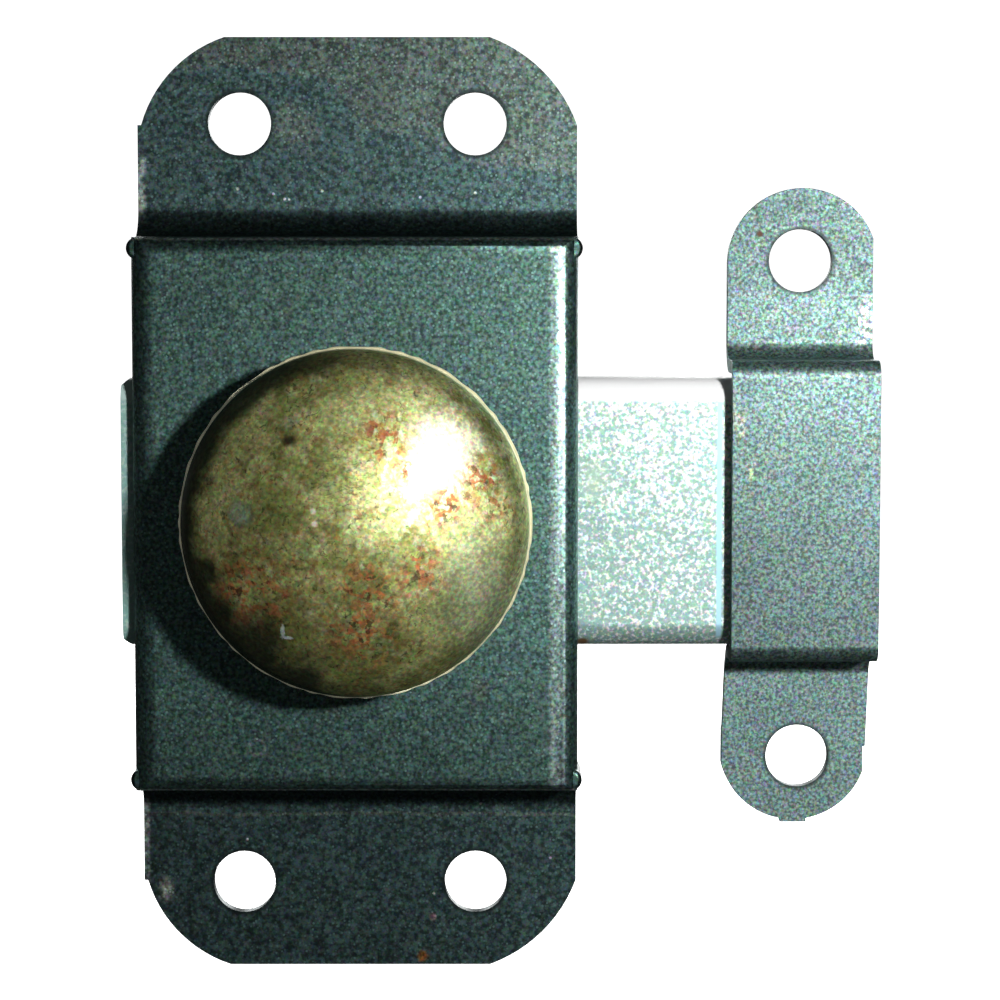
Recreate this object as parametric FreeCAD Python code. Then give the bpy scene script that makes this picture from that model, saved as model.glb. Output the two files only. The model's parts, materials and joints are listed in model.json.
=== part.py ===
import FreeCAD
import Part

import math
import os

from FreeCAD import Vector

# A surface-mounted toggle bolt latch: a knob on a pressed cover turns a crank behind it, and the
# crank's pin slides a flat channel bolt sideways under a keeper strap.
# Sizes are in millimetres. X runs from the cover towards the keeper, Z is up, and the door's face
# is the plane Y = 0. Everything stands in front of it, so a "depth" below is a distance along -Y.
# The origin is the centre of the cover's four screw holes, on the door's face.

# Cover and keeper: pressed steel strips, each with two flat feet and a raised middle
sheet = 1.3
step_bend = 1.7
screw_hole_radius = 3.1

cover_half_width = 21.65
cover_half_height = 46.25
cover_face_depth = 9.4
cover_half_step = 27.0
cover_foot_bend = 3.0
cover_side_bend = 2.4
cover_raised_z = -0.4
cover_corner_reach = 8.6
cover_corner_inset = 3.35
cover_corner_step = 0.35
cover_hole_spacing_x = 23.2
cover_hole_spacing_z = 75.6
corner_ear_radius = 1.1
corner_ear_reach = 0.4
corner_ear_drop = 1.0
corner_ear_round = 0.45
past_cover = 60.0

keeper_left = 36.55
keeper_right = 50.95
keeper_half_height = 31.5
keeper_face_depth = 8.2
keeper_half_step = 14.75
keeper_foot_bend = 2.0
keeper_raised_z = -0.1
keeper_hole_spacing = 49.4
keeper_hole_drop = 0.35
keeper_end_radius = 7.4
keeper_lean = 0.35
keeper_notch = 0.25
keeper_burr = 0.25
keeper_burr_half_width = 1.3

# Bolt: a channel with its open side towards the door
bolt_sheet = 1.3
bolt_left = -22.9
bolt_right = 49.2
bolt_middle_z = -0.25
bolt_half_width = 13.15
bolt_back = 0.4
bolt_front = 6.6
bolt_bend = 2.3
bolt_chamfer = 0.7
bolt_travel = 14.4
notch_clearance = 0.3

# Crank: its pin swings equally to both sides of upright and takes the bolt with it
crank_radius = 8.8
crank_rest_angle = 35.0
crank_back = 3.1
crank_front = 5.0
crank_hub_radius = 5.0
crank_end_radius = 2.6
pin_radius = 1.5
pin_front = 6.4
pin_head_radius = 2.1
pin_head_back = 2.6
pin_chamfer = 0.3
pin_slot_half_width = 2.1

# Spindle: its axis stands a hair off the middle of the cover
spindle_x = 0.4
spindle_z = -0.4
spindle_radius = 3.0
spindle_bore_radius = 3.075
spindle_slot_half_width = 3.4
spindle_square = 4.2
collar_radius = 4.6
collar_back = 6.7
collar_front = 8.05
rivet_head_radius = 3.3
rivet_head_height = 1.1
rivet_head_round = 0.7

# Knob: a pressed shell rolled over the edge of a trumpet-shaped back
knob_base = 10.2
knob_rim_depth = 16.6
knob_radius = 16.75
knob_dome_height = 8.5
knob_shoulder_radius = 5.0
knob_sheet = 0.8
knob_roll_radius = 1.6
knob_lip_radius = 14.2
knob_neck_radius = 6.2
knob_neck_height = 2.6
knob_neck_round = 1.2
knob_flare_round = 2.0
knob_flange_width = 1.95
knob_flange_round = 1.0
knob_cup_round = 0.4
knob_floor = 1.0
washer_inner_radius = 3.2
washer_outer_radius = 6.6
washer_sheet = 0.4

# Toggle spring: a coil carried along by the bolt, with one long leg held in the cover's top step
wire_radius = 0.45
coil_radius = 3.0
coil_x = 7.2
coil_z = 17.0
coil_turns = 2
lower_leg_depth = 2.2
upper_leg_depth = 5.2
lower_leg_end_z = 11.9
upper_leg_bend_z = 24.7
upper_leg_end_z = 26.3
wire_hole_radius = 0.9
wire_hole_length = 6.0


def slab(left, right, low, high, back, front):
    """A block between two heights, two sides and two depths."""
    corner = Vector(left, -front, low)
    return Part.makeBox(right - left, front - back, high - low, corner)


def rod(x, z, radius, back, front):
    """A round bar standing straight out from the door."""
    return Part.makeCylinder(radius, front - back, Vector(x, -back, z), Vector(0, -1, 0))


def on_side(point):
    """Puts an outline drawn as (height, depth) into the plane X = 0."""
    return Vector(0, -point.y, point.x)


def on_top(point):
    """Puts an outline drawn as (sideways, depth) into the plane Z = 0."""
    return Vector(point.x, -point.y, 0)


def on_door(point):
    """Puts an outline drawn as (sideways, height) into the door's plane."""
    return Vector(point.x, 0, point.y)


def rounded_face(corners, place):
    """A flat face inside (across, up, radius) corners, each rounded by its own radius."""
    count = len(corners)
    turns = []
    for i in range(count):
        across, up, radius = corners[i]
        here = Vector(across, up, 0)
        before = Vector(corners[i - 1][0], corners[i - 1][1], 0) - here
        after = Vector(corners[(i + 1) % count][0], corners[(i + 1) % count][1], 0) - here
        before.normalize()
        after.normalize()
        half_angle = before.getAngle(after) / 2
        reach = radius / math.tan(half_angle)
        inward = before + after
        if radius:
            inward.normalize()
        middle = here + inward * (radius / math.sin(half_angle) - radius)
        turns.append((here + before * reach, middle, here + after * reach, radius))
    edges = []
    for i in range(count):
        start, middle, end, radius = turns[i]
        following = turns[(i + 1) % count][0]
        if radius:
            edges.append(Part.Arc(place(start), place(middle), place(end)).toShape())
        if (following - end).Length > 1e-6:
            edges.append(Part.makeLine(place(end), place(following)))
    return Part.Face(Part.Wire(edges))


def mirrored_corners(corners):
    """The corners of the right-hand half, followed by their mirror images in reverse order."""
    return corners + [(-across, up, radius) for across, up, radius in reversed(corners)]


def along_x(face, left, right):
    """Extrudes a side outline from one X to another."""
    solid = face.extrude(Vector(right - left, 0, 0))
    solid.translate(Vector(left, 0, 0))
    return solid


def along_z(face, low, high):
    """Extrudes a top outline from one height to another."""
    solid = face.extrude(Vector(0, 0, high - low))
    solid.translate(Vector(0, 0, low))
    return solid


def out_from_door(face, back, front):
    """Extrudes an outline on the door from one depth to another."""
    solid = face.extrude(Vector(0, back - front, 0))
    solid.translate(Vector(0, -back, 0))
    return solid


def turned(corners):
    """A solid turned about the spindle's axis from an outline of (radius, depth, rounding) corners."""
    return rounded_face(corners, on_top).revolve(Vector(0, 0, 0), Vector(0, 1, 0), 360)


def upright_hole(x, depth, z):
    """A short bore for the spring's wire, up through a wall that lies level at one height."""
    low_end = Vector(x, -depth, z - wire_hole_length / 2)
    return Part.makeCylinder(wire_hole_radius, wire_hole_length, low_end)


def slot(x0, z0, x1, z1, half_width, back, front):
    """A round-ended slot between two points, for cutting out from the door's direction."""
    length = math.hypot(x1 - x0, z1 - z0)
    ends = rod(x0, z0, half_width, back, front).fuse(rod(x1, z1, half_width, back, front))
    middle = slab(0, length, -half_width, half_width, back, front)
    middle.rotate(Vector(0, 0, 0), Vector(0, -1, 0), math.degrees(math.atan2(z1 - z0, x1 - x0)))
    middle.translate(Vector(x0, 0, z0))
    return ends.fuse(middle)


def bent_strip_corners(reach, half_step, foot_bend, front):
    """The upper half of a strip that is flat on the door, steps up and crosses in front."""
    inner = half_step - sheet
    return [
        (inner, front - sheet, step_bend - sheet),
        (inner, 0, foot_bend + sheet),
        (reach, 0, 0),
        (reach, sheet, 0),
        (half_step, sheet, foot_bend),
        (half_step, front, step_bend),
    ]


def bent_strip(corners, half_width):
    """A pressed strip with two flat feet and a raised middle."""
    return along_x(rounded_face(mirrored_corners(corners), on_side), -half_width, half_width)


def space_under_strip(corners, half_width):
    """The same strip and everything between it and the door."""
    filled = rounded_face(mirrored_corners(corners[2:]), on_side)
    return along_x(filled, -half_width, half_width)


def cover_plan():
    """The cover's outline: its corners are cut by arcs a little too flat to meet the sides."""
    edges = []
    ends_of_arcs = []
    for side in (-1, 1):
        step = cover_corner_step if side < 0 else 0
        ends_of_side = []
        for end in (-1, 1):
            corner = Vector(side * cover_half_width, 0, end * cover_half_height)
            side_end = corner - Vector(0, 0, end * cover_corner_reach)
            start = side_end - Vector(side * step, 0, 0)
            middle = corner - Vector(side, 0, end) * cover_corner_inset
            finish = corner - Vector(side * cover_corner_reach, 0, 0)
            edges.append(Part.Arc(start, middle, finish).toShape())
            if step:
                edges.append(Part.makeLine(side_end, start))
            ends_of_side.append(side_end)
            ends_of_arcs.append(finish)
        edges.append(Part.makeLine(*ends_of_side))
    edges.append(Part.makeLine(ends_of_arcs[0], ends_of_arcs[2]))
    edges.append(Part.makeLine(ends_of_arcs[1], ends_of_arcs[3]))
    outline = Part.Face(Part.Wire(Part.__sortEdges__(edges)))
    return out_from_door(outline, -1, cover_face_depth + 1)


def cover_side_walls():
    """The raised middle's turned-down left and right walls, joined across its face."""
    inner = cover_half_width - sheet
    corners = [
        (inner, cover_face_depth - sheet, cover_side_bend - sheet),
        (inner, 0, 0),
        (cover_half_width, 0, 0),
        (cover_half_width, cover_face_depth, cover_side_bend),
    ]
    walls = rounded_face(mirrored_corners(corners), on_top)
    return along_z(walls, -cover_half_step, cover_half_step)


def cover_rounded_sides():
    """A long block as wide as the cover, with the raised face's left and right edges rounded."""
    corners = [(cover_half_width, 0, 0), (cover_half_width, cover_face_depth, cover_side_bend)]
    block = rounded_face(mirrored_corners(corners), on_top)
    return along_z(block, -past_cover, past_cover)


def corner_ear(side, end):
    """Metal pushed out sideways at one end of a bend."""
    x = side * (cover_half_width + corner_ear_reach - corner_ear_radius)
    z = end * (cover_half_step - corner_ear_radius)
    ear = rod(x, z, corner_ear_radius, sheet, cover_face_depth - corner_ear_drop)
    return ear.makeFillet(corner_ear_round, [ear.Edges[0]])


def housing_cover():
    """The pressed cover screwed to the door."""
    corners = bent_strip_corners(
        cover_half_height + 1, cover_half_step, cover_foot_bend, cover_face_depth
    )
    strip = bent_strip(corners, cover_half_width).common(cover_rounded_sides())
    space = space_under_strip(corners, cover_half_width)
    cover = strip.fuse(cover_side_walls().common(space))
    for side in (-1, 1):
        for end in (-1, 1):
            cover = cover.fuse(corner_ear(side, end))
    cover.translate(Vector(0, 0, cover_raised_z))
    tall = cover_half_step + 1
    raised = slab(-past_cover, past_cover, -tall, tall, -1, cover_face_depth + 1)
    cover = cover.common(cover_plan().fuse(raised))
    for side in (-1, 1):
        for end in (-1, 1):
            x = side * cover_hole_spacing_x / 2
            z = end * cover_hole_spacing_z / 2
            cover = cover.cut(rod(x, z, screw_hole_radius, -1, sheet + 1))
    half_notch = bolt_half_width + notch_clearance
    low = bolt_middle_z - half_notch
    high = bolt_middle_z + half_notch
    front = bolt_front + notch_clearance
    cover = cover.cut(slab(-past_cover, past_cover, low, high, -1, front))
    bore = rod(spindle_x, spindle_z, spindle_bore_radius, 0, cover_face_depth + 1)
    wire_hole = upright_hole(0, upper_leg_depth, cover_half_step)
    return cover.cut(bore).cut(wire_hole).removeSplitter()


def keeper_plan():
    """The keeper's outline: round ends, each a hair off centre, and a burr left at the bottom."""
    half = (keeper_right - keeper_left) / 2
    upper_z = keeper_half_height - keeper_end_radius
    lower_z = -upper_z
    lower_left = -half - keeper_lean
    lower_right = half - keeper_lean
    outline = [
        (half, upper_z, 0),
        (half, -keeper_half_step, 0),
        (lower_right, lower_z, 0),
        (lower_left, lower_z, 0),
        (-half, -keeper_half_step, 0),
        (-half, upper_z, 0),
    ]
    front = keeper_face_depth + 1
    plan = out_from_door(rounded_face(outline, on_door), -1, front)
    top = rod(keeper_end_radius - half, upper_z, keeper_end_radius, -1, front)
    plan = plan.fuse(top.common(slab(-half, half, 0, 2 * upper_z, -1, front)))
    bottom = rod(-keeper_lean, lower_z, keeper_end_radius, -1, front)
    inside = lower_right - keeper_notch
    plan = plan.fuse(bottom.common(slab(lower_left, inside, 2 * lower_z, 0, -1, front)))
    burr_low = -keeper_half_height - keeper_burr
    burr_left = -keeper_lean - keeper_burr_half_width
    burr_right = -keeper_lean + keeper_burr_half_width
    plan = plan.fuse(slab(burr_left, burr_right, burr_low, lower_z, -1, front))
    plan.translate(Vector((keeper_left + keeper_right) / 2, 0, 0))
    return plan


def keeper_strap():
    """The bent strap on the frame that the bolt slides under."""
    reach = keeper_half_height + 1
    corners = bent_strip_corners(
        reach, keeper_half_step, keeper_foot_bend, keeper_face_depth
    )
    strap = bent_strip(corners, keeper_right - keeper_left)
    middle_x = (keeper_left + keeper_right) / 2
    strap.translate(Vector(middle_x, 0, keeper_raised_z))
    strap = strap.common(keeper_plan())
    for end in (-1, 1):
        z = end * keeper_hole_spacing / 2 - keeper_hole_drop
        strap = strap.cut(rod(middle_x, z, screw_hole_radius, -1, sheet + 1))
    return strap


def bolt_channel():
    """The sliding bolt, with its T-shaped window for the spindle and the crank pin."""
    inner = bolt_half_width - bolt_sheet
    corners = [
        (inner, bolt_front - bolt_sheet, bolt_bend - bolt_sheet),
        (inner, bolt_back, 0),
        (bolt_half_width, bolt_back, 0),
        (bolt_half_width, bolt_front, bolt_bend),
    ]
    channel = along_x(rounded_face(mirrored_corners(corners), on_side), bolt_left, bolt_right)
    top = bolt_half_width
    trimmed = top - bolt_chamfer
    plan = [
        (bolt_left, trimmed, 0),
        (bolt_left + bolt_chamfer, top, 0),
        (bolt_right - bolt_chamfer, top, 0),
        (bolt_right, trimmed, 0),
        (bolt_right, -trimmed, 0),
        (bolt_right - bolt_chamfer, -top, 0),
        (bolt_left + bolt_chamfer, -top, 0),
        (bolt_left, -trimmed, 0),
    ]
    bolt = channel.common(out_from_door(rounded_face(plan, on_door), -1, bolt_front + 1))
    bolt.translate(Vector(0, 0, bolt_middle_z))
    depths = (bolt_front - bolt_sheet - 1, bolt_front + 1)
    far = spindle_x + bolt_travel
    along = (spindle_x, spindle_z, far, spindle_z)
    bolt = bolt.cut(slot(*along, spindle_slot_half_width, *depths))
    middle = spindle_x + bolt_travel / 2
    upright = (middle, spindle_z, middle, spindle_z + crank_radius)
    bolt = bolt.cut(slot(*upright, pin_slot_half_width, *depths))
    wire_x = coil_x + coil_radius
    return bolt.cut(upright_hole(wire_x, lower_leg_depth, bolt_half_width))


def arc_about(centre, radius, first, last):
    """An arc in the plane Z = 0, from one angle to another, measured from X towards the front."""
    points = []
    for angle in (first, (first + last) / 2, last):
        points.append(centre + Vector(math.cos(angle), -math.sin(angle), 0) * radius)
    return Part.Arc(*points).toShape()


def knob_skin(inset):
    """One skin of the knob's shell, from the middle of its crown round to its rolled-in lip."""
    reach = knob_radius - knob_shoulder_radius
    rise = knob_dome_height
    crown_radius = (reach**2 + rise**2 - knob_shoulder_radius**2) / 2
    crown_radius = crown_radius / (rise - knob_shoulder_radius)
    lean = math.atan2(crown_radius - rise, reach)
    crown = Vector(0, crown_radius - rise - knob_rim_depth, 0)
    shoulder = Vector(reach, -knob_rim_depth, 0)
    roll = Vector(knob_radius - knob_roll_radius, -knob_rim_depth, 0)
    edges = [
        arc_about(crown, crown_radius - inset, math.pi / 2, lean),
        arc_about(shoulder, knob_shoulder_radius - inset, lean, 0),
        arc_about(roll, knob_roll_radius - inset, 0, -math.pi / 2),
    ]
    low = roll + Vector(0, knob_roll_radius - inset, 0)
    edges.append(Part.makeLine(low, Vector(knob_lip_radius, low.y, 0)))
    return edges


def knob_shell():
    """The domed brass shell, its rim rolled in under the back's edge."""
    apex = -knob_rim_depth - knob_dome_height
    lip = knob_roll_radius - knob_rim_depth
    edges = knob_skin(0) + knob_skin(knob_sheet)
    edges.append(Part.makeLine(Vector(0, apex, 0), Vector(0, apex + knob_sheet, 0)))
    lip_edge = Vector(knob_lip_radius, lip - knob_sheet, 0)
    edges.append(Part.makeLine(Vector(knob_lip_radius, lip, 0), lip_edge))
    outline = Part.Face(Part.Wire(Part.__sortEdges__(edges)))
    return outline.revolve(Vector(0, 0, 0), Vector(0, 1, 0), 360)


def knob_back():
    """The trumpet-shaped back and neck that the shell is rolled onto."""
    floor = knob_base + knob_floor
    lip_back = knob_rim_depth - knob_sheet
    lip_radius = knob_radius - knob_roll_radius
    flange = lip_radius - knob_flange_width
    flare = knob_base + knob_neck_height
    cup_radius = knob_neck_radius - knob_floor
    back = turned(
        [
            (0, knob_base, 0),
            (knob_neck_radius, knob_base, knob_neck_round),
            (knob_neck_radius, flare, knob_flare_round),
            (flange, lip_back, knob_flange_round),
            (lip_radius, lip_back, 0),
            (lip_radius, knob_rim_depth, 0),
            (flange - 0.3, knob_rim_depth, knob_flange_round),
            (cup_radius, flare + 0.5, knob_neck_round),
            (cup_radius, floor, knob_cup_round),
            (0, floor, 0),
        ]
    )
    half = spindle_square / 2
    return back.cut(slab(-half, half, -half, half, knob_base - 1, floor + 1))


def knob_spindle():
    """The spindle: a collar behind the cover's face and a squared, riveted neck at each end."""
    half = spindle_square / 2
    floor = knob_base + knob_floor
    spindle = rod(0, 0, spindle_radius, crank_front, knob_base)
    spindle = spindle.fuse(rod(0, 0, collar_radius, collar_back, collar_front))
    spindle = spindle.fuse(slab(-half, half, -half, half, crank_back, floor))
    for back, outer_end in ((crank_back - rivet_head_height, 0), (floor, 1)):
        head = rod(0, 0, rivet_head_radius, back, back + rivet_head_height)
        spindle = spindle.fuse(head.makeFillet(rivet_head_round, [head.Edges[0 if outer_end else 2]]))
    return spindle.removeSplitter()


def friction_washer():
    """A dished spring washer between the cover's face and the knob."""
    back = cover_face_depth
    return turned(
        [
            (washer_inner_radius, knob_base - washer_sheet, 0),
            (washer_inner_radius, knob_base, 0),
            (washer_outer_radius, back + washer_sheet, 0),
            (washer_outer_radius, back, 0),
        ]
    )


def at_rest_angle(shape):
    """Turns a part of the crank from pointing along X to where it rests."""
    shape.rotate(Vector(0, 0, 0), Vector(0, -1, 0), crank_rest_angle)
    return shape


def crank_arm():
    """The crank: a tapered flat arm with a square hole at the hub and a round one at the pin."""
    lean = math.acos((crank_hub_radius - crank_end_radius) / crank_radius)
    corners = []
    for x, radius in ((0, crank_hub_radius), (crank_radius, crank_end_radius)):
        corners.append((x + radius * math.cos(lean), radius * math.sin(lean), 0))
    sides = corners + [(x, -z, r) for x, z, r in reversed(corners)]
    arm = out_from_door(rounded_face(sides, on_door), crank_back, crank_front)
    arm = arm.fuse(rod(0, 0, crank_hub_radius, crank_back, crank_front))
    arm = arm.fuse(rod(crank_radius, 0, crank_end_radius, crank_back, crank_front))
    arm = arm.cut(rod(crank_radius, 0, pin_radius, 0, cover_face_depth)).removeSplitter()
    half = spindle_square / 2
    return at_rest_angle(arm).cut(slab(-half, half, -half, half, 0, cover_face_depth))


def crank_pin():
    """The pin riveted into the crank's end, standing up through the bolt's window."""
    pin = rod(crank_radius, 0, pin_radius, pin_head_back, pin_front)
    pin = pin.makeChamfer(pin_chamfer, [pin.Edges[0]])
    head = rod(crank_radius, 0, pin_head_radius, pin_head_back, crank_back)
    return at_rest_angle(pin.fuse(head))


def wire_between(start, end):
    """A straight length of the spring's wire with a round far end."""
    along = end - start
    wire = Part.makeCylinder(wire_radius, along.Length, start, along)
    return wire.fuse(Part.makeSphere(wire_radius, end))


def toggle_spring():
    """The coiled wire that throws the bolt past the middle of its travel, to either end."""
    hook = Vector(0, -upper_leg_depth, upper_leg_bend_z)
    away = Vector(hook.x - coil_x, 0, hook.z - coil_z)
    leaving = math.atan2(away.z, away.x) - math.acos(coil_radius / away.Length)
    turns = coil_turns + leaving / (2 * math.pi)
    depth = upper_leg_depth - lower_leg_depth
    helix = Part.makeHelix(depth / turns, depth, coil_radius)
    slope = Vector(0, coil_radius, depth / turns / (2 * math.pi))
    section = Part.Wire([Part.Circle(Vector(coil_radius, 0, 0), slope, wire_radius).toShape()])
    coil = Part.Wire(helix.Edges).makePipeShell([section], True, False)
    coil.rotate(Vector(0, 0, 0), Vector(1, 0, 0), 90)
    coil.translate(Vector(coil_x, -lower_leg_depth, coil_z))
    lower = Vector(coil_x + coil_radius, -lower_leg_depth, coil_z)
    upper = Vector(
        coil_x + coil_radius * math.cos(leaving),
        -upper_leg_depth,
        coil_z + coil_radius * math.sin(leaving),
    )
    spring = coil.fuse(wire_between(Vector(lower.x, lower.y, lower_leg_end_z), lower))
    spring = spring.fuse(wire_between(hook, upper))
    return spring.fuse(wire_between(Vector(hook.x, hook.y, upper_leg_end_z), hook))


os.makedirs("parts", exist_ok=True)
for piece in (housing_cover, keeper_strap, bolt_channel, toggle_spring):
    piece().exportStep("parts/" + piece.__name__ + ".step")
for piece in (knob_shell, knob_back, knob_spindle, friction_washer, crank_arm, crank_pin):
    turning = piece()
    turning.translate(Vector(spindle_x, 0, spindle_z))
    turning.exportStep("parts/" + piece.__name__ + ".step")
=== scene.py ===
"""Looks for the toggle bolt latch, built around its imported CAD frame.

Blender units are metres. The door is the plane Y = 0 and the latch stands in front of it, on -Y.
Marks on the metal are placed in millimetres, as (sideways, up) from the middle of the cover.
"""

import json
import math

import bmesh
import bpy
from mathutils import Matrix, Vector, noise


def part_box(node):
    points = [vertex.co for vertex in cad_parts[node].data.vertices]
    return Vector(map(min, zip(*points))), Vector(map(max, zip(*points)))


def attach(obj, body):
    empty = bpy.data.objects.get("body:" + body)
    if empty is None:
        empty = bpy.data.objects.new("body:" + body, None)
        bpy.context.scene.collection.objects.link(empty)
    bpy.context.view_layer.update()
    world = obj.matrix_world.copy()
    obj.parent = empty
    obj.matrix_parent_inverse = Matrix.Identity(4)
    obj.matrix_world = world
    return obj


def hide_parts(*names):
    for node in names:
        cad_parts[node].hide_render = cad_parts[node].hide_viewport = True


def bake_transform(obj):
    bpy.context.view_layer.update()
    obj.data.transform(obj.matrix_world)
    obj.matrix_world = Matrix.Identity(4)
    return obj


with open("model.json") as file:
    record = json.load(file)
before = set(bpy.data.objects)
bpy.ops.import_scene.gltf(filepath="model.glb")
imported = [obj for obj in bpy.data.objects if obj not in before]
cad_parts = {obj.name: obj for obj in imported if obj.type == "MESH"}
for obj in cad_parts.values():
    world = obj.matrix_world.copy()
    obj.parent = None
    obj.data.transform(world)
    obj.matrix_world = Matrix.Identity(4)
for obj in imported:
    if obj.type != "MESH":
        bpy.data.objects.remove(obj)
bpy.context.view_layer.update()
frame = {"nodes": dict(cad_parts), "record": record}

MM = 0.001
X, Y, Z = 0, 1, 2


# ---------------------------------------------------------------- places taken from the frame


def low_and_high(node):
    """The two opposite corners of a CAD node's box."""
    return [Vector(corner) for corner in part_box(node)]


cover_high = low_and_high("housing_cover")[1]
keeper_low = low_and_high("keeper_strap")[0]
bolt_low, bolt_high = low_and_high("bolt_channel")
knob_low, knob_high = low_and_high("knob_shell")

knob_axis = (knob_low + knob_high) / 2
knob_radius = (knob_high.x - knob_low.x) / 2
knob_apex_y = knob_low.y
knob_lip_y = knob_high.y

mounts = {mount["name"]: mount for mount in frame["record"]["mounts"]}
cover_holes = mounts["housing_screws"]
keeper_holes = mounts["keeper_screws"]

# Millimetres, from the middle of the cover: its sides inside the small ears at the corners, and
# the edges where its raised middle steps down to the feet.
ear_reach = 0.4
cover_half_width = cover_high.x / MM - ear_reach
step_top_z = 26.6
step_bottom_z = -27.4


# ---------------------------------------------------------------- node helpers


class Nodes:
    """A material's node tree with short ways to add and join nodes."""

    def __init__(self, name, middle=(0, 0, 0)):
        self.material = bpy.data.materials.new(name)
        self.material.use_nodes = True
        self.tree = self.material.node_tree
        self.shader = self.tree.nodes["Principled BSDF"]
        coords = self.tree.nodes.new("ShaderNodeTexCoord")
        self.place = self.vector("SUBTRACT", coords.outputs["Object"], middle)

    def put(self, value, socket):
        """Joins a socket to an input, or writes a plain value into it."""
        if isinstance(value, bpy.types.NodeSocket):
            self.tree.links.new(value, socket)
        else:
            socket.default_value = value

    def vector(self, kind, first, second=(0, 0, 0), third=(0, 0, 0)):
        """One step of vector arithmetic."""
        node = self.tree.nodes.new("ShaderNodeVectorMath")
        node.operation = kind
        for value, socket in zip((first, second, third), node.inputs):
            self.put(value, socket)
        return node.outputs["Value" if kind in ("DISTANCE", "LENGTH") else "Vector"]

    def math(self, kind, first, second=0.0):
        """One arithmetic step."""
        node = self.tree.nodes.new("ShaderNodeMath")
        node.operation = kind
        self.put(first, node.inputs[0])
        self.put(second, node.inputs[1])
        return node.outputs[0]

    def along(self, axis):
        """The place along one axis, in millimetres."""
        node = self.tree.nodes.new("ShaderNodeSeparateXYZ")
        self.put(self.place, node.inputs[0])
        return self.math("MULTIPLY", node.outputs[axis], 1 / MM)

    def away(self, axis):
        """The distance to either side of the middle along one axis, in millimetres."""
        return self.math("ABSOLUTE", self.along(axis))

    def noise(self, size, detail=2.0, stretch=(1, 1, 1), shift=(0, 0, 0), twist=0.0, colour=False):
        """Smooth noise from 0 to 1, or a noisy colour. size is one wave's length in millimetres."""
        mapping = self.tree.nodes.new("ShaderNodeMapping")
        mapping.inputs["Scale"].default_value = stretch
        mapping.inputs["Location"].default_value = shift
        self.put(self.place, mapping.inputs["Vector"])
        node = self.tree.nodes.new("ShaderNodeTexNoise")
        node.inputs["Scale"].default_value = 1 / (size * MM)
        node.inputs["Detail"].default_value = detail
        node.inputs["Distortion"].default_value = twist
        self.put(mapping.outputs["Vector"], node.inputs["Vector"])
        return node.outputs["Color" if colour else "Fac"]

    def cells(self, size, shift=(0, 0, 0)):
        """A scatter of cells: distance to each cell's middle, and a random colour for each."""
        mapping = self.tree.nodes.new("ShaderNodeMapping")
        mapping.inputs["Location"].default_value = shift
        self.put(self.place, mapping.inputs["Vector"])
        node = self.tree.nodes.new("ShaderNodeTexVoronoi")
        node.inputs["Scale"].default_value = 1 / (size * MM)
        self.put(mapping.outputs["Vector"], node.inputs["Vector"])
        return node.outputs["Distance"], node.outputs["Color"]

    def ramp(self, value, low, high, first=0.0, last=1.0):
        """Runs smoothly from first to last as value goes from low to high."""
        node = self.tree.nodes.new("ShaderNodeMapRange")
        node.interpolation_type = "SMOOTHSTEP"
        self.put(value, node.inputs["Value"])
        node.inputs["From Min"].default_value = low
        node.inputs["From Max"].default_value = high
        node.inputs["To Min"].default_value = first
        node.inputs["To Max"].default_value = last
        return node.outputs["Result"]

    def curve(self, value, points):
        """A smooth curve through (value, result) points, kept between the lowest and highest."""
        node = self.tree.nodes.new("ShaderNodeFloatCurve")
        first, last = points[0][0], points[-1][0]
        results = [result for _, result in points]
        low, high = min(results), max(results)
        curve = node.mapping.curves[0]
        while len(curve.points) < len(points):
            curve.points.new(0.5, 0.5)
        for spot, (start, result) in zip(curve.points, points):
            spot.location = ((start - first) / (last - first), (result - low) / (high - low))
        node.mapping.update()
        across = self.math("DIVIDE", self.math("SUBTRACT", value, first), last - first)
        self.put(self.math("MINIMUM", self.math("MAXIMUM", across, 0.0), 1.0), node.inputs["Value"])
        return self.math("ADD", self.math("MULTIPLY", node.outputs["Value"], high - low), low)

    def mix(self, amount, first, second, kind="MIX"):
        """Blends two colours."""
        node = self.tree.nodes.new("ShaderNodeMix")
        node.data_type = "RGBA"
        node.blend_type = kind
        self.put(amount, node.inputs[0])
        self.put(first, node.inputs[6])
        self.put(second, node.inputs[7])
        return node.outputs[2]

    def tone(self, colour, factor):
        """Multiplies a colour by a number or by another colour."""
        return self.mix(1.0, colour, factor, "MULTIPLY")

    def stain(self, colour, mask, tint, strength=1.0):
        """Lays a tint over a colour where a mask is 1, as strongly as strength says."""
        if strength < 1.0:
            mask = self.math("MULTIPLY", mask, strength)
        return self.mix(mask, colour, tint)

    def all_of(self, *masks):
        """The product of several masks."""
        result = masks[0]
        for mask in masks[1:]:
            result = self.math("MULTIPLY", result, mask)
        return result

    def any_of(self, *masks):
        """The strongest of several masks."""
        result = masks[0]
        for mask in masks[1:]:
            result = self.math("MAXIMUM", result, mask)
        return result

    def reach(self, x, z, ragged=0.0, wide=1.0, tall=1.0):
        """Distance from a mark's middle, seen from the front, in millimetres.

        An oval mark has its half sizes, wide and tall, and its distance is a share of them.
        """
        place = self.place
        if ragged:
            wander = self.noise(1.6 * max(wide, tall), 3.0, colour=True)
            step = (2 * ragged * MM,) * 3
            back = (-ragged * MM,) * 3
            place = self.vector("ADD", place, self.vector("MULTIPLY_ADD", wander, step, back))
        shape = (1 / (wide * MM), 0, 1 / (tall * MM))
        middle = (x / wide, 0, z / tall)
        return self.vector("DISTANCE", self.vector("MULTIPLY", place, shape), middle)

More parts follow.
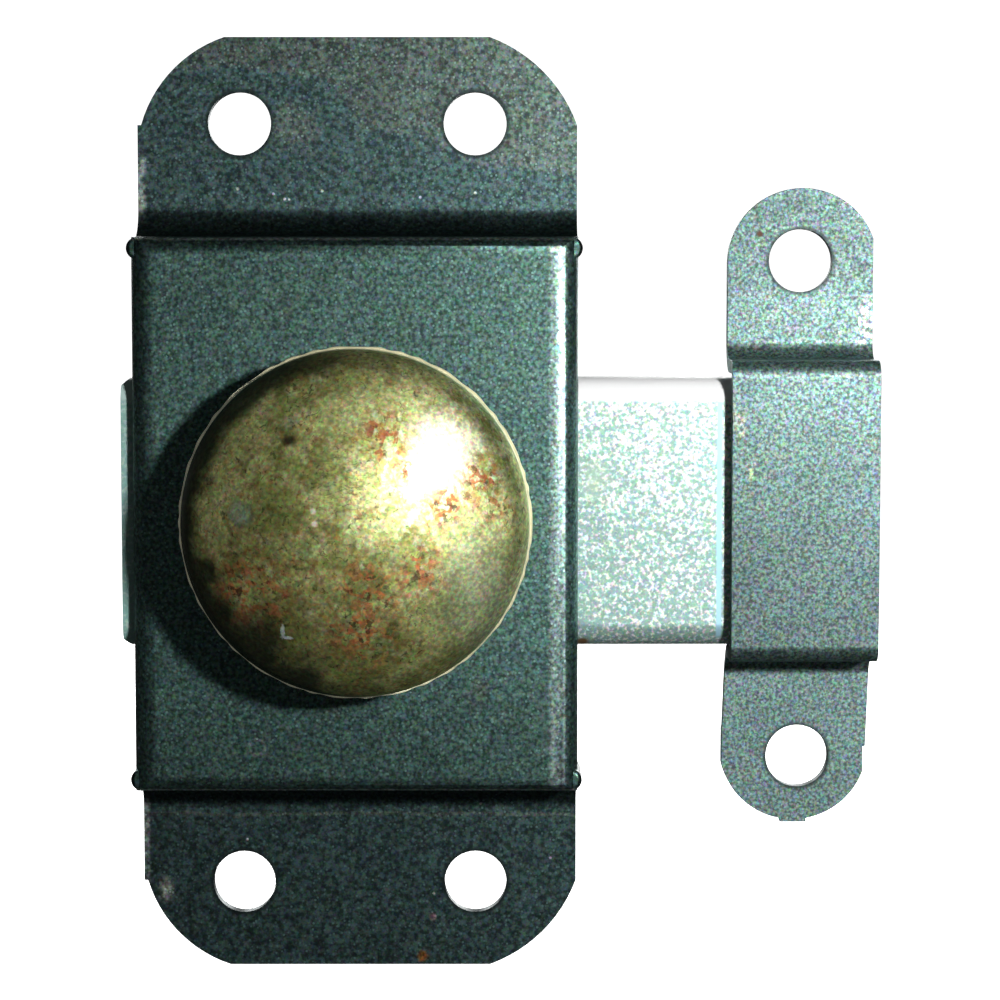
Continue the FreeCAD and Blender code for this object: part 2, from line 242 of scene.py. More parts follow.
    def spot(self, x, z, wide, tall=None, ragged=0.0, soft=0.5):
        """1 inside an oval mark, fading to 0 past its edge. wide and tall are half sizes in mm."""
        tall = tall or wide
        return self.ramp(self.reach(x, z, ragged, wide, tall), 1 - soft, 1 + soft, 1.0, 0.0)

    def ring(self, x, z, radius, width):
        """1 on a round line."""
        off = self.math("ABSOLUTE", self.math("SUBTRACT", self.reach(x, z), radius))
        return self.ramp(off, width / 4, width, 1.0, 0.0)

    def specks(self, places, size):
        """Small marks of one size, at a list of (sideways, up) places."""
        return self.any_of(*(self.spot(x, z, size, ragged=size / 2) for x, z in places))

    def band(self, axis, low, high, soft=0.3):
        """1 between two places along an axis."""
        value = self.along(axis)
        rise = self.ramp(value, low - soft, low + soft)
        return self.all_of(rise, self.ramp(value, high - soft, high + soft, 1.0, 0.0))

    def bump(self, height, distance, strength=1.0, under=None):
        """A bump from a height, on top of another bump if one is given."""
        node = self.tree.nodes.new("ShaderNodeBump")
        node.inputs["Strength"].default_value = strength
        node.inputs["Distance"].default_value = distance
        self.put(height, node.inputs["Height"])
        if under is not None:
            self.put(under, node.inputs["Normal"])
        return node.outputs["Normal"]

    def finish(self, colour, metallic, roughness, normal=None):
        """Joins the results to the shader."""
        self.put(colour, self.shader.inputs["Base Color"])
        self.put(metallic, self.shader.inputs["Metallic"])
        self.put(roughness, self.shader.inputs["Roughness"])
        if normal is not None:
            self.put(normal, self.shader.inputs["Normal"])
        return self.material


def rgb(red, green, blue):
    """A colour with full alpha."""
    return (red, green, blue, 1.0)


# ---------------------------------------------------------------- materials

def crystals(n, size, hue, contrast, facet_glint=0.0):
    """A tint for crystalline metal: tiny cells that differ in hue and lightness, some of them painted
    brighter than a real surface can be, as glinting facets.
    """
    _, colour = n.cells(size)
    _, other = n.cells(2.1 * size, shift=(1, 2, 3))
    tint = n.vector("MULTIPLY_ADD", colour, (2 * hue,) * 3, (1 - hue,) * 3)
    light = n.ramp(n.noise(2.2 * size, 1.0), 0.3, 0.7, 1 - contrast, 1 + contrast)
    coarse = n.vector("MULTIPLY_ADD", other, (hue,) * 3, (1 - hue / 2,) * 3)
    tint = n.tone(n.tone(tint, coarse), light)
    if not facet_glint:
        return tint
    # Painted glints: a few facets brighter than a real surface can be.
    distance, chance = n.cells(3.0 * size, shift=(5, 3, 1))
    facet = n.ramp(distance, 0.16, 0.3, 1.0, 0.0)
    some = n.ramp(n.vector("LENGTH", chance), 0.85, 1.0)
    return n.stain(tint, n.all_of(facet, some), rgb(2.4, 2.5, 2.5), facet_glint)


def hole_places(mount):
    """The middles of a mount's screw holes, in millimetres."""
    x, _, z = (value / MM for value in mount["pos_m"])
    dims = mount["dims"]
    half_x = dims.get("spacing_x_mm", 0) / 2
    half_z = dims["spacing_y_mm"] / 2
    sides = (-half_x, half_x) if half_x else (0,)
    return [(x + side, z + end) for side in sides for end in (-half_z, half_z)]


def hole_rims(n, mount, width):
    """1 on the metal just outside each screw hole."""
    radius = mount["dims"]["hole_r_mm"]
    return n.any_of(*(n.ring(x, z, radius, width) for x, z in hole_places(mount)))


def cover_stains(n, colour):
    """The top foot's tide line with paler metal above it, and a pale spot between its holes."""
    tide_points = [(-21, 39.6), (-16, 43.4), (-7.5, 43.1), (-3.6, 42.2), (-1.6, 40.4)]
    tide_points += [(0.8, 37.8), (5.2, 36.9), (8.1, 35.5), (11, 34.3), (15.4, 33.6), (21, 33.2)]
    tide = n.curve(n.along(X), tide_points)
    ragged = n.math("MULTIPLY", n.math("SUBTRACT", n.noise(3.0, 4.0), 0.5), 2.6)
    above = n.math("ADD", n.math("SUBTRACT", n.along(Z), tide), ragged)
    pale = n.mix(n.ramp(n.noise(2.5, 4.0), 0.4, 0.6), rgb(0.165, 0.245, 0.215), rgb(0.165, 0.225, 0.205))
    colour = n.stain(colour, n.ramp(above, -0.35, 0.35), pale)
    edge = n.all_of(n.ramp(above, -0.7, -0.1), n.ramp(above, -0.1, 0.5, 1.0, 0.0))
    colour = n.stain(colour, edge, rgb(0.26, 0.34, 0.32), 0.25)
    return n.stain(colour, n.spot(-6.2, 37.7, 2.1, 1.9, ragged=1.0), rgb(0.2, 0.28, 0.25))


def cover_marks(n, colour):
    """Scuffs, specks, worn slit edges and a faint round tool mark on the cover."""
    row = [(-11.8, 31.4), (-8.3, 30.9), (-7.2, 30.4), (-3.5, 31.2), (6.2, 30.6), (11.6, 31.0)]
    low = [(12.1, -29.9), (19.1, -35.4), (7.4, -39.0), (-11.3, -33.5), (-21.2, -23.1)]
    white = rgb(0.95, 1.0, 0.98)
    colour = n.stain(colour, n.specks(row, 0.13), white)
    colour = n.stain(colour, n.specks(low, 0.12), white)
    colour = n.stain(colour, n.spot(7.3, -41.4, 0.35, ragged=0.2), rgb(0.6, 0.4, 0.45))
    colour = n.stain(colour, n.spot(6.3, -45.4, 0.5, ragged=0.3), rgb(0.5, 0.2, 0.06))
    colour = n.stain(colour, n.spot(-19.5, -38.6, 0.7, 1.0, ragged=0.8), rgb(0.7, 0.8, 0.72))
    worn_top = n.all_of(n.band(X, -21.9, -20.9), n.band(Z, 28.2, 34.6, 0.8))
    worn_low = n.all_of(n.band(X, -21.9, -21.1, 0.2), n.band(Z, -37.8, -29.0, 0.8))
    worn = n.all_of(n.any_of(worn_top, worn_low), n.ramp(n.noise(1.0, 3.0), 0.3, 0.55))
    colour = n.stain(colour, worn, rgb(0.75, 0.9, 0.85), 0.8)
    return n.stain(colour, n.ring(-9.6, -22.9, 0.75, 0.25), rgb(0.6, 0.65, 0.6), 0.35)


def past_the_sides(n):
    """1 on the cover's ears and side faces, 0 on its front."""
    return n.ramp(n.away(X), cover_half_width - 0.1, cover_half_width + 0.1)


def cover_bends(n, colour):
    """Painted shade along the bends to the feet and on the ears and sides, painted highlights on the
    ridges beside it, and a stain line below.
    """
    wave = n.math("MULTIPLY", n.math("SUBTRACT", n.noise(5.0, 3.0, shift=(2, 5, 1)), 0.5), 1.2)
    stain_line_z = -30.9
    height = n.math("SUBTRACT", n.along(Z), stain_line_z)
    line = n.math("ABSOLUTE", n.math("ADD", height, wave))
    colour = n.stain(colour, n.ramp(line, 0.08, 0.25, 0.35, 0.0), rgb(0.34, 0.38, 0.3))
    # Painted shade: the bends to the feet, and the cover's ears and side faces, darkened.
    upper = n.band(Z, step_top_z - 0.1, step_top_z + 2.7, 0.35)
    lower = n.band(Z, step_bottom_z - 2.5, step_bottom_z + 0.3, 0.35)
    bends = n.math("MULTIPLY", n.any_of(upper, n.math("MULTIPLY", lower, 0.6)), 0.8)
    colour = n.stain(colour, n.any_of(bends, past_the_sides(n)), rgb(0.015, 0.025, 0.025))
    # Painted highlights: thin bright lines along the ridges at the steps.
    top_ridge = n.band(Z, step_top_z - 0.35, step_top_z - 0.1, 0.08)
    bottom_ridge = n.band(Z, step_bottom_z - 0.1, step_bottom_z + 0.3, 0.08)
    inside = n.ramp(n.away(X), cover_half_width - 0.3, cover_half_width, 1.0, 0.0)
    ridges = n.all_of(n.any_of(top_ridge, bottom_ridge), inside)
    return n.stain(colour, ridges, rgb(0.8, 0.95, 0.9), 0.8)


def cover_shading(n, colour):
    """The cover's painted light and shade: lighter and darker by height and across, a painted highlight on
    its right bend and painted shade on its ears.

    These tones are painted by place on the object, as light and shade, to bring its brightness close to
    the original's.
    """
    # Painted light and shade by height: darker low down and along the upper step, lighter in the middle.
    by_height = [(-46, 0.4), (-30, 0.38), (-22, 0.44), (0, 0.6), (20, 0.5), (24.8, 0.5), (25.6, 0.3)]
    by_height += [(26.6, 0.3), (27.4, 0.5), (46, 0.5)]
    colour = n.tone(colour, n.curve(n.along(Z), by_height))
    raised = n.band(Z, step_bottom_z + 0.4, step_top_z - 0.6)
    # Painted highlight: a brighter stripe along the right bend.
    bend = n.all_of(n.band(X, cover_half_width - 2.8, cover_half_width - 1.2, 0.3), raised)
    colour = n.stain(colour, bend, rgb(0.3, 0.4, 0.38), 0.5)
    # Painted light: lighter towards the right, where the light comes from.
    colour = n.tone(colour, n.curve(n.along(X), [(-22, 1.0), (8, 1.03), (18, 1.14), (22, 1.14)]))
    # Painted shade: the ears darkened.
    beside_steps = n.all_of(n.ramp(n.away(Z), 28.2, 27.8), n.ramp(n.away(Z), 24.0, 24.5))
    ears = n.all_of(past_the_sides(n), beside_steps)
    return n.stain(colour, ears, rgb(0.02, 0.03, 0.03), 0.85)


def housing_material():
    """The cover: dark grey-green phosphated steel, finely speckled, stained and scuffed, with painted
    light and shade.
    """
    n = Nodes("housing_steel")
    clouds = n.noise(14.0, 4.0, twist=0.4)
    base = n.mix(n.ramp(clouds, 0.4, 0.65), rgb(0.16, 0.29, 0.26), rgb(0.14, 0.255, 0.235))
    rusty = n.ramp(n.noise(5.0, 5.0, shift=(4, 0, 2)), 0.6, 0.75, 0.0, 0.5)
    base = n.stain(base, rusty, rgb(0.19, 0.23, 0.19))
    base = n.stain(base, n.ramp(n.away(Z), 27.5, 29.0), rgb(0.115, 0.2, 0.195))
    colour = cover_shading(n, cover_bends(n, cover_marks(n, cover_stains(n, base))))
    colour = n.tone(colour, crystals(n, 0.17, 0.26, 0.5, 0.8))
    colour = n.stain(colour, hole_rims(n, cover_holes, 0.5), rgb(0.02, 0.03, 0.03), 0.8)
    distance, chance = n.cells(2.3)
    rare = n.ramp(n.vector("LENGTH", chance), 0.45, 0.5, 1.0, 0.0)
    dots = n.all_of(n.ramp(distance, 0.05, 0.1, 1.0, 0.0), rare)
    colour = n.stain(colour, dots, rgb(0.85, 0.9, 0.88))
    rough = n.ramp(n.noise(0.8, 3.0, shift=(2, 2, 2)), 0.3, 0.7, 0.38, 0.5)
    grain = n.bump(n.noise(0.35, 2.0), 0.02 * MM, 0.4)
    waves = n.bump(n.noise(9.0, 1.0), 0.1 * MM, 0.2, grain)
    return n.finish(colour, 0.95, rough, waves)


def keeper_material():
    """The keeper: paler grey-green steel with a fine speckle, with painted light and shade changing its
    tone by height.
    """
    n = Nodes("keeper_steel")
    clouds = n.noise(8.0, 4.0, shift=(5, 0, 0), twist=0.3)
    colour = n.mix(n.ramp(clouds, 0.4, 0.65), rgb(0.148, 0.228, 0.212), rgb(0.13, 0.202, 0.19))
    # Painted light and shade: the keeper lighter and darker by height.
    by_height = [(-32, 1.15), (-18, 1.1), (-14, 0.8), (-4, 0.9), (7, 1.1), (13, 1.3)]
    by_height += [(16, 1.1), (18.5, 1.2), (22, 0.9), (32, 0.75)]
    colour = n.tone(colour, n.curve(n.along(Z), by_height))
    scuffed = n.ramp(n.noise(0.5, 3.0), 0.45, 0.6)
    cream = n.any_of(n.spot(37.3, 8.6, 0.6, 1.8, ragged=0.8), n.spot(38.2, 4.2, 0.5, 1.2, ragged=0.6))
    colour = n.stain(colour, n.all_of(cream, scuffed), rgb(0.42, 0.4, 0.28), 0.6)
    blaze = n.all_of(n.spot(50.4, 18.0, 0.9, 2.2, ragged=0.7), scuffed)
    colour = n.stain(colour, blaze, rgb(0.7, 0.75, 0.74))
    colour = n.tone(colour, crystals(n, 0.15, 0.35, 0.5, 0.5))
    colour = n.stain(colour, n.spot(39.7, 27.0, 0.3, ragged=0.2), rgb(0.06, 0.03, 0.02))
    colour = n.stain(colour, hole_rims(n, keeper_holes, 0.45), rgb(0.03, 0.04, 0.04), 0.8)
    rough = n.ramp(n.noise(0.8, 3.0), 0.3, 0.7, 0.42, 0.55)
    return n.finish(colour, 0.85, rough, n.bump(n.noise(0.35, 2.0), 0.02 * MM, 0.4))


def bolt_speckle(n):
    """Nearly white zinc with green-blue crystals, denser low down and towards the tail."""
    low_share = n.ramp(n.along(Z), 12.0, -13.0, 0.0, 0.08)
    tail_share = n.ramp(n.along(X), 30.0, 20.0, 0.0, 0.05)
    share = n.math("ADD", n.math("ADD", n.noise(0.36, 1.0), low_share), tail_share)
    colour = n.mix(n.ramp(share, 0.38, 0.64), rgb(0.92, 1.0, 0.96), rgb(0.33, 0.52, 0.47))
    return n.tone(colour, crystals(n, 0.17, 0.2, 0.1))


def zinc_material():
    """The bolt: speckled zinc with a few marks, a plain top roll painted white as a highlight, a bluish
    strip of painted shade by the keeper's mouth, and a dull tail darkened as painted shade.
    """
    n = Nodes("bolt_zinc")
    patch = n.spot(23.1, 2.9, 1.2, 1.6, ragged=1.2, soft=0.8)
    colour = n.stain(bolt_speckle(n), patch, rgb(0.45, 0.62, 0.42), 0.5)
    colour = n.stain(colour, n.spot(22.1, -13.0, 0.6, 0.4, ragged=0.3), rgb(0.25, 0.15, 0.07))
    mouth = keeper_low.x / MM
    front = bolt_low.y / MM
    on_front = n.ramp(n.along(Y), front + 0.3, front + 0.6, 1.0, 0.0)
    # Painted shade: a bluish strip on the bolt's front where the keeper's shadow falls.
    keeper_shadow_strip = n.all_of(n.band(X, mouth - 1.0, mouth - 0.5, 0.1), on_front)
    colour = n.stain(colour, keeper_shadow_strip, rgb(0.45, 0.75, 0.9))
    top = bolt_high.z / MM
    # Painted highlight: the top roll plain white, made matt so it stays bright.
    roll_highlight = n.ramp(n.along(Z), top - 2.4, top - 1.9)
    colour = n.stain(colour, roll_highlight, rgb(1.0, 1.0, 1.0))
    # Painted shade: the tail, in the cover's shadow, tinted dark teal.
    tail = n.ramp(n.along(X), -20.0, -21.5, 0.0, 0.75)
    colour = n.stain(colour, tail, rgb(0.2, 0.38, 0.34))
    matt = n.any_of(roll_highlight, n.ramp(n.along(X), -22.0, -10.0, 0.8, 0.0))
    metallic = n.math("SUBTRACT", 0.55, n.math("MULTIPLY", matt, 0.55))
    rough = n.ramp(n.noise(0.9, 3.0), 0.3, 0.7, 0.4, 0.5)
    return n.finish(colour, metallic, rough, n.bump(n.noise(0.4, 2.0), 0.015 * MM, 0.3))


def brass_ground(n, clouds):
    """The knob's brass itself: olive, clouded, with paler, rusty and black mottling."""
    colour = n.mix(n.ramp(clouds, 0.38, 0.62), rgb(0.4, 0.43, 0.14), rgb(0.58, 0.6, 0.25))
    dark = n.ramp(n.noise(2.2, 6.0, shift=(1, 5, 2), twist=0.6), 0.54, 0.66, 0.0, 0.6)
    colour = n.stain(colour, dark, rgb(0.19, 0.19, 0.06))
    pale = n.ramp(n.noise(1.6, 6.0, shift=(6, 2, 4)), 0.56, 0.68, 0.0, 0.5)
    colour = n.stain(colour, pale, rgb(0.8, 0.8, 0.45))
    rusty = n.ramp(n.noise(0.8, 6.0, shift=(2, 7, 3), twist=1.0), 0.56, 0.64, 0.0, 0.55)
    colour = n.stain(colour, rusty, rgb(0.42, 0.24, 0.08))
    black = n.ramp(n.noise(0.6, 5.0, shift=(7, 1, 5), twist=1.0), 0.6, 0.68, 0.0, 0.7)
    return n.stain(colour, black, rgb(0.09, 0.09, 0.04))


def brass_marks(n, colour):
    """The knob's distinct marks: a painted highlight with its halo, pale chips, a grey-green spot and dark
    pits.
    """
    # Painted highlight: a bright cream patch up right on the dome, with a paler halo round it.
    colour = n.stain(colour, n.spot(8.0, 7.2, 2.9, 3.4, ragged=3.2, soft=0.5), rgb(0.95, 0.93, 0.66))
    highlight_halo = n.all_of(n.spot(7.6, 5.6, 6.0, 6.4, ragged=2.6, soft=1.2), n.ramp(n.noise(0.8, 5.0), 0.5, 0.58))
    colour = n.stain(colour, highlight_halo, rgb(0.9, 0.88, 0.6), 0.7)
    colour = n.stain(colour, n.ring(-10.2, 1.4, 1.0, 0.4), rgb(0.16, 0.18, 0.1), 0.5)
    colour = n.stain(colour, n.spot(-10.2, 1.4, 0.95, ragged=0.5), rgb(0.4, 0.52, 0.36), 0.7)
    colour = n.stain(colour, n.spot(-5.7, 8.2, 0.65, 0.5, ragged=0.4), rgb(0.08, 0.07, 0.03))
    colour = n.stain(colour, n.specks([(-3.4, 1.8), (-3.3, 0.6)], 0.26), rgb(0.95, 1.0, 0.7))
    # A pale chip, painted brighter than a real surface can be, as a glint.
    chip_and_glint = n.any_of(n.spot(-6.5, -9.6, 0.18, 0.6, ragged=0.3), n.spot(-6.1, -10.1, 0.5, 0.18, ragged=0.3))
    return n.stain(colour, chip_and_glint, rgb(2.2, 3.2, 3.0))


def brass_clusters(n, colour):
    """Reddish-brown clusters and dark scratches in the knob's brass, and a painted pale green sheen."""
    places = [(-9.5, -6.0, 3.8), (1.8, -5.4, 2.4), (0.8, -9.8, 3.0), (3.0, 8.2, 1.8)]
    places += [(11.6, 5.0, 2.0), (8.8, 2.2, 2.2), (12.6, 2.0, 1.4), (6.5, -3.8, 2.2), (5.4, 5.4, 1.2)]
    clusters = n.any_of(*(n.spot(x, z, size, ragged=2.0, soft=0.7) for x, z, size in places))
    red = n.all_of(clusters, n.ramp(n.noise(1.0, 5.0, twist=0.8), 0.47, 0.56))
    rust = n.mix(n.ramp(n.along(Z), 0.0, -6.0), rgb(0.4, 0.13, 0.05), rgb(0.66, 0.27, 0.1))
    colour = n.stain(colour, red, rust, 0.9)
    pits = n.all_of(clusters, n.ramp(n.noise(0.7, 3.0, shift=(4, 4, 1)), 0.58, 0.64))
    colour = n.stain(colour, pits, rgb(0.1, 0.06, 0.03), 0.8)
    # Painted sheen: a pale green light area low on the right of the dome.
    sheen = n.spot(12.0, -7.0, 3.2, 5.6, ragged=2.4, soft=0.8)
    colour = n.stain(colour, sheen, rgb(0.74, 0.84, 0.52), 0.7)
    scratched = n.spot(-0.4, 4.4, 2.8, 3.0, ragged=1.6, soft=0.8)
    scratches = n.ramp(n.noise(0.7, 3.0, stretch=(1.0, 1.0, 2.2), twist=1.5), 0.52, 0.6)
    return n.stain(colour, n.all_of(scratched, scratches), rgb(0.12, 0.16, 0.08), 0.6)


def rim_grime_and_shade(n, colour, radius):
    """Black-green grime and painted shade beside the knob's lip: thick at the left and below, on the
    shaded side, thin at the right.
    """
    rim = knob_radius / MM
    # Grime and painted shade: darkest on the left and lower left, the knob's shaded side.
    left = n.ramp(n.along(X), 6.0, -8.0, 0.15, 1.0)
    start = n.math("ADD", n.math("MULTIPLY", n.noise(4.0, 4.0), 3.0), rim - 4.6)
    near_lip = n.ramp(n.math("SUBTRACT", radius, start), 0.0, 1.6)
    soot_and_shade_places = [(-14.6, -4.6, 2.0), (-13.4, -8.4, 3.4), (-10.4, -12.0, 4.0), (-5.4, -14.6, 3.0)]
    soot_and_shade = n.any_of(*(n.spot(x, z, size, ragged=2.4, soft=0.5) for x, z, size in soot_and_shade_places))
    grime = n.any_of(n.all_of(near_lip, left), soot_and_shade)
    return n.stain(colour, grime, rgb(0.025, 0.04, 0.025), 0.93)


def brass_material():
    """Aged brass: an olive ground mottled brown, with a painted highlight and sheen, grimy and painted
    darker beside a worn, pale, waved lip.

    The lip's shaded side is painted brighter than a real surface can be, as it glints there.
    """
    n = Nodes("knob_brass", knob_axis)
    clouds = n.noise(5.0, 5.0, twist=0.5)
    colour = brass_clusters(n, brass_marks(n, brass_ground(n, clouds)))
    radius = n.reach(0, 0)
    colour = rim_grime_and_shade(n, colour, radius)
    colour = n.tone(colour, crystals(n, 0.2, 0.22, 0.25))
    rim = knob_radius / MM
    edge = n.ramp(radius, rim - 0.42, rim - 0.34)
    towards_light = n.math("ADD", n.along(X), n.math("MULTIPLY", n.along(Z), 0.6))
    shaded = n.ramp(towards_light, 4.0, -12.0)
    # The lip: pale worn brass, painted brighter than a real surface can be on its shaded side, as a glint.
    lip = n.mix(shaded, rgb(1.0, 0.93, 0.6), rgb(3.2, 3.1, 2.2))
    worn = n.all_of(edge, n.ramp(n.noise(2.2, 2.0), 0.3, 0.6, 0.75, 1.0))
    colour = n.stain(colour, worn, lip)
    dull = n.ramp(clouds, 0.3, 0.7, 0.44, 0.56)
    rough = n.math("SUBTRACT", dull, n.math("MULTIPLY", edge, 0.12))
    metallic = n.math("SUBTRACT", 0.9, n.math("MULTIPLY", edge, 0.55))
    grain = n.bump(n.noise(0.5, 3.0), 0.02 * MM, 0.35)
    return n.finish(colour, metallic, rough, n.bump(clouds, 0.08 * MM, 0.3, grain))


def plain_steel_material(name, base, rough_low, rough_high):
    """Hidden works: plain plated steel with turning marks and a little grime."""
    n = Nodes(name)
    grime = n.noise(4.0, 3.0)
    colour = n.mix(n.ramp(grime, 0.5, 0.75), base, rgb(0.2, 0.19, 0.17))
    grain = n.noise(0.7, 2.0)
    rough = n.ramp(grain, 0.3, 0.7, rough_low, rough_high)
    return n.finish(colour, 0.95, rough, n.bump(grain, 0.03 * MM, 0.3))


def floor_material():
    """Plain glowing white for the floor and walls."""
    n = Nodes("studio_white")
    n.shader.inputs["Emission Color"].default_value = rgb(1, 1, 1)
    n.shader.inputs["Emission Strength"].default_value = 1.15
    return n.finish(rgb(0.9, 0.9, 0.9), 0.0, 0.9)


# ---------------------------------------------------------------- meshes


def smooth_by_angle(mesh, degrees):
    """Smooth shading with creases only where faces meet at more than an angle."""
    for polygon in mesh.polygons:
        polygon.use_smooth = True
    mesh.set_sharp_from_angle(angle=math.radians(degrees))


def softened_copy(node, name, width):
    """A copy of a CAD node with its cut edges rounded, standing in for that node."""
    mesh = bpy.data.meshes.new(name)
    work = bmesh.new()
    work.from_mesh(frame["nodes"][node].data)
    bmesh.ops.remove_doubles(work, verts=work.verts, dist=1e-6)
    one_degree = math.radians(1.0)
    bmesh.ops.dissolve_limit(work, angle_limit=one_degree, verts=work.verts, edges=work.edges)
    work.to_mesh(mesh)
    work.free()
    smooth_by_angle(mesh, 40)
    copy = bpy.data.objects.new(name, mesh)
    bpy.context.scene.collection.objects.link(copy)
    bevel = copy.modifiers.new("rounded edges", "BEVEL")
    bevel.width = width
    bevel.segments = 3
    bevel.limit_method = "ANGLE"
    bevel.angle_limit = math.radians(40)
    bevel.harden_normals = True
    flats = copy.modifiers.new("flat faces", "WEIGHTED_NORMAL")
    flats.keep_sharp = True
    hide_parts(node)
    return copy


def wear(obj, material):
    """Gives a piece its material."""
    obj.data.materials.clear()
    obj.data.materials.append(material)


def paint_node(node, material):
    """Gives a CAD node a material in place of its plain one."""
    for slot in frame["nodes"][node].material_slots:
        slot.material = material


def mesh_object(name, vertices, faces):
    """A new object in the scene from points and faces."""
    mesh = bpy.data.meshes.new(name)
    mesh.from_pydata(vertices, [], faces)
    obj = bpy.data.objects.new(name, mesh)
    bpy.context.scene.collection.objects.link(obj)
    return obj


def arc_points(radius, depth, bend, first, last, count):
    """Profile points on an arc round (radius, depth), angles in degrees from outward to forward."""
    points = []
    for step in range(count):
        angle = math.radians(first + (last - first) * step / (count - 1))
        points.append((radius + bend * math.cos(angle), depth + bend * math.sin(angle)))
    return points


def knob_profile(dome_radius, rim_depth, rise, shoulder, lip):
    """The shell's outline as (radius, depth) points, and where the lip's points start and end.

    It runs over the outside from the crown to the lip, round the rolled edge to the shell's
    mouth, and back up the inside.
    """
    crown_points, shoulder_points, lip_points = 44, 16, 12
    sheet = 0.8 * MM
    mouth_radius = 0.848 * knob_radius
    mouth_depth = -knob_lip_y
    reach = dome_radius - shoulder
    crown = (reach**2 + rise**2 - shoulder**2) / (2 * (rise - shoulder))
    crown_depth = rim_depth + rise - crown
    lean = math.degrees(math.atan2(crown - rise, reach))
    roll_depth = rim_depth - 2 * lip
    roll = roll_depth - mouth_depth
    outline = arc_points(0, crown_depth, crown, 90, lean, crown_points)
    outline += arc_points(reach, rim_depth, shoulder, lean, 4, shoulder_points)[1:]
    lip_start = len(outline)
    outline += arc_points(dome_radius - 0.05 * MM, rim_depth - lip, lip, 75, -90, lip_points)
    lip_end = len(outline)
    outline += arc_points(dome_radius - 0.3 * MM - roll, roll_depth, roll, -10, -90, 9)
    outline += [(mouth_radius, mouth_depth), (mouth_radius, mouth_depth + sheet)]
    outline += [(dome_radius - roll, mouth_depth + sheet)]
    outline += arc_points(reach, rim_depth, shoulder - sheet, 0, lean, 8)
    outline += arc_points(0, crown_depth, crown - sheet, lean, 90, 16)[1:]
    return outline, lip_start, lip_end


def on_axis(radius):
    """Whether an outline's point is on the axis it is turned about."""
    return radius < 1e-7


def lathe_faces(outline, around):
    """The faces between the rings that an outline's points make when it is turned."""
    rings = []
    count = 0
    for radius, _ in outline:
        size = 1 if on_axis(radius) else around
        rings.append(range(count, count + size))
        count += size
    faces = []
    for near, far in zip(rings, rings[1:]):
        for step in range(around):
            ahead = (step + 1) % around
            if len(near) == 1:
                faces.append((near[0], far[step], far[ahead]))
            elif len(far) == 1:
                faces.append((near[ahead], near[step], far[0]))
            else:
                faces.append((near[ahead], near[step], far[step], far[ahead]))
    return faces


def knob_dome():
    """The knob's shell with its thin waved lip and faint dents, turned about the spindle's axis."""
    waves = 38
    around = waves * 12
    wave_depth = 0.055 * MM
    dent_depth = 0.02 * MM
    lip = 0.3 * MM
    rim_depth = -knob_lip_y + 1.6 * MM
    rise = -knob_apex_y - rim_depth
    outline, lip_start, lip_end = knob_profile(knob_radius - lip, rim_depth, rise, 5 * MM, lip)
    vertices = []
    for index, (radius, depth) in enumerate(outline):
        if on_axis(radius):
            vertices.append((knob_axis.x, -depth, knob_axis.z))
            continue
        waved = 0.0
        if lip_start <= index < lip_end:
            waved = math.sin(math.pi * (index - lip_start + 1) / (lip_end - lip_start + 1))
        for step in range(around):
            angle = 2 * math.pi * step / around
            direction = Vector((math.cos(angle), 0, math.sin(angle)))
            wobble = noise.noise(direction * 4 + Vector((0, 0, 9)))
            ripple = waved * (math.cos(waves * angle + 5 * wobble) - 1) * wave_depth
            place = direction * (radius + ripple)
            dent = noise.noise(Vector((place.x, depth, place.z)) * 260) * dent_depth
            vertices.append((knob_axis.x + place.x, -depth + dent, knob_axis.z + place.z))
    dome = mesh_object("knob_dome", vertices, lathe_faces(outline, around))
    smooth_by_angle(dome.data, 50)
    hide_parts("knob_shell")
    return dome


def bending_spring():
    """The toggle spring's wire, copied from its CAD node; on the latch its coil goes with the bolt and its
    long leg stays hooked in the cover.

    The wire is cut into short pieces, as the leg can only bend where it has points.
    """
    wire_mesh = frame["nodes"]["toggle_spring"].data.copy()
    work = bmesh.new()
    work.from_mesh(wire_mesh)
    long_edges = [edge for edge in work.edges if edge.calc_length() > 0.6 * MM]
    bmesh.ops.subdivide_edges(work, edges=long_edges, cuts=16, use_grid_fill=True)
    work.to_mesh(wire_mesh)
    work.free()
    spring = bpy.data.objects.new("toggle_wire", wire_mesh)
    bpy.context.scene.collection.objects.link(spring)
    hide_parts("toggle_spring")
    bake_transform(spring)
    return spring


def latch():
    """Every piece of the latch, shaped and painted; the cover, keeper, bolt and knob dome are joined to
    their bodies.
    """
    steel = plain_steel_material("works_steel", rgb(0.6, 0.61, 0.62), 0.3, 0.45)
    wire = plain_steel_material("spring_steel", rgb(0.4, 0.41, 0.43), 0.3, 0.4)
    brass = brass_material()
    cover = softened_copy("housing_cover", "cover", 0.25 * MM)
    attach(cover, "mounted")
    wear(cover, housing_material())
    keeper = softened_copy("keeper_strap", "keeper", 0.25 * MM)
    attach(keeper, "mounted")
    wear(keeper, keeper_material())
    bolt = softened_copy("bolt_channel", "bolt_bar", 0.2 * MM)
    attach(bolt, "bolt")
    wear(bolt, zinc_material())
    dome = knob_dome()
    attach(dome, "knob")
    wear(dome, brass)
    wear(bending_spring(), wire)
    paint_node("knob_back", brass)
    for part in ("knob_spindle", "friction_washer", "crank_arm", "crank_pin"):
        paint_node(part, steel)


# ---------------------------------------------------------------- studio


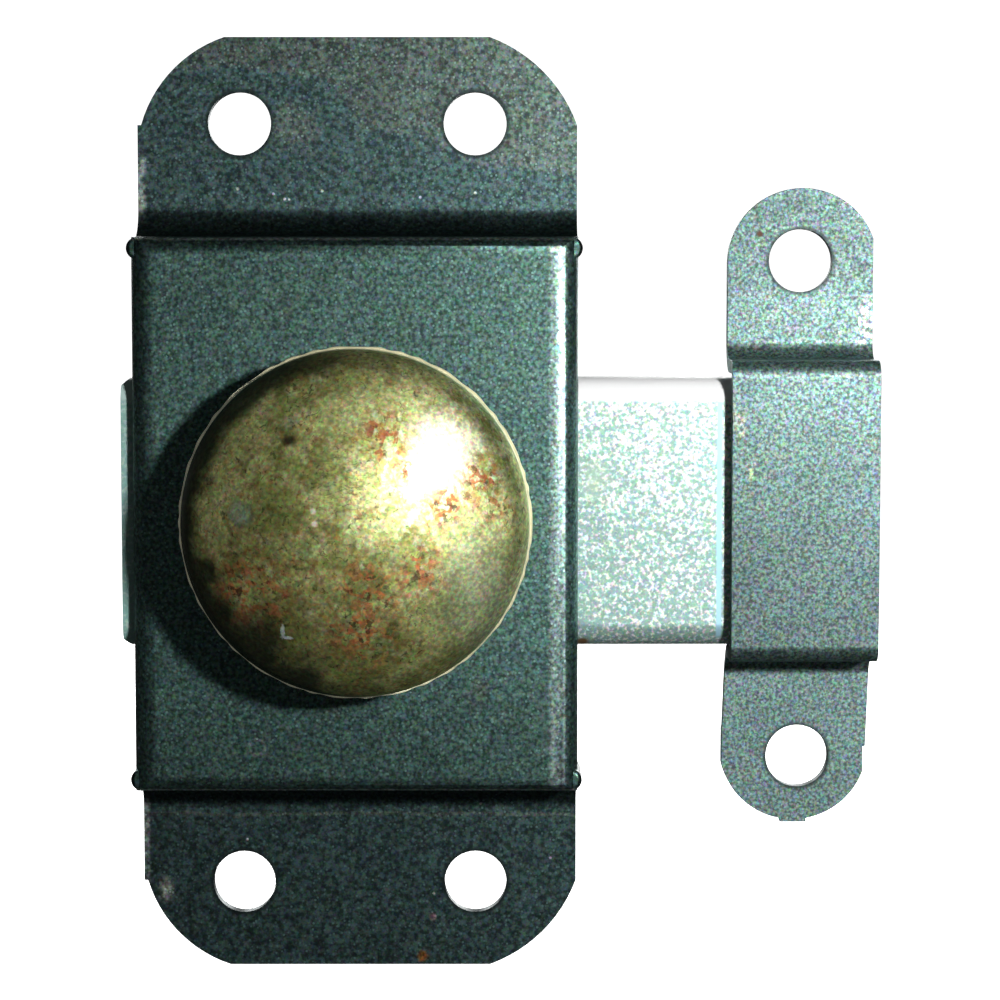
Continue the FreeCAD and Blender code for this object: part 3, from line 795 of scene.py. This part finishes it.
def studio_plane(name, corners, material):
    """A flat piece of the studio, shown to the camera but neither lighting nor shading the latch."""
    plane = mesh_object(name, corners, [tuple(range(len(corners)))])
    plane.data.materials.append(material)
    plane.visible_diffuse = False
    plane.visible_glossy = False
    plane.visible_shadow = False


def area_light(name, place, size, power):
    """A square soft light aimed at the middle of the latch."""
    light = bpy.data.lights.new(name, "AREA")
    light.size = size
    light.energy = power
    lamp = bpy.data.objects.new(name, light)
    bpy.context.scene.collection.objects.link(lamp)
    lamp.location = place
    aim = Vector((0.01, 0, 0)) - Vector(place)
    lamp.rotation_euler = aim.to_track_quat("-Z", "Y").to_euler()


def studio():
    """A white floor and walls, a hard key light from the upper right, and two weak lights behind."""
    white = floor_material()
    floor_z, wall_top_z, wall_distance = -0.075, 3.0, 1.6
    signs = [(-1, -1), (1, -1), (1, 1), (-1, 1)]
    corners = [(x * wall_distance, y * wall_distance) for x, y in signs]
    studio_plane("floor", [(x, y, floor_z) for x, y in corners], white)
    for index, (start, end) in enumerate(zip(corners, corners[1:] + corners[:1])):
        wall = [(*start, floor_z), (*end, floor_z), (*end, wall_top_z), (*start, wall_top_z)]
        studio_plane(f"wall_{index + 1}", wall, white)
    world = bpy.data.worlds.new("studio_air")
    bpy.context.scene.world = world
    world.use_nodes = True
    background = world.node_tree.nodes["Background"]
    background.inputs["Color"].default_value = rgb(1, 1, 1)
    background.inputs["Strength"].default_value = 0.045
    area_light("key", (0.153, -0.29, 0.07), 0.025, 1.15)
    area_light("back_left", (-0.2, 0.5, 0.2), 0.3, 1.6)
    area_light("back_right", (0.2, 0.5, 0.1), 0.3, 1.6)


def camera():
    """The viewpoint: close in front, a little above and right of the cover's middle."""
    data = bpy.data.cameras.new("camera")
    data.sensor_width = 36.0
    data.lens = 101.75
    data.clip_start = 0.01
    view = bpy.data.objects.new("camera", data)
    bpy.context.scene.collection.objects.link(view)
    view.location = (0.0137, -0.2816, 0.022)
    target = Vector((0.01405, -0.0016, 0.00065))
    view.rotation_euler = (target - view.location).to_track_quat("-Z", "Y").to_euler()
    bpy.context.scene.camera = view


latch()
studio()
camera()
bpy.context.scene.view_settings.view_transform = "Standard"
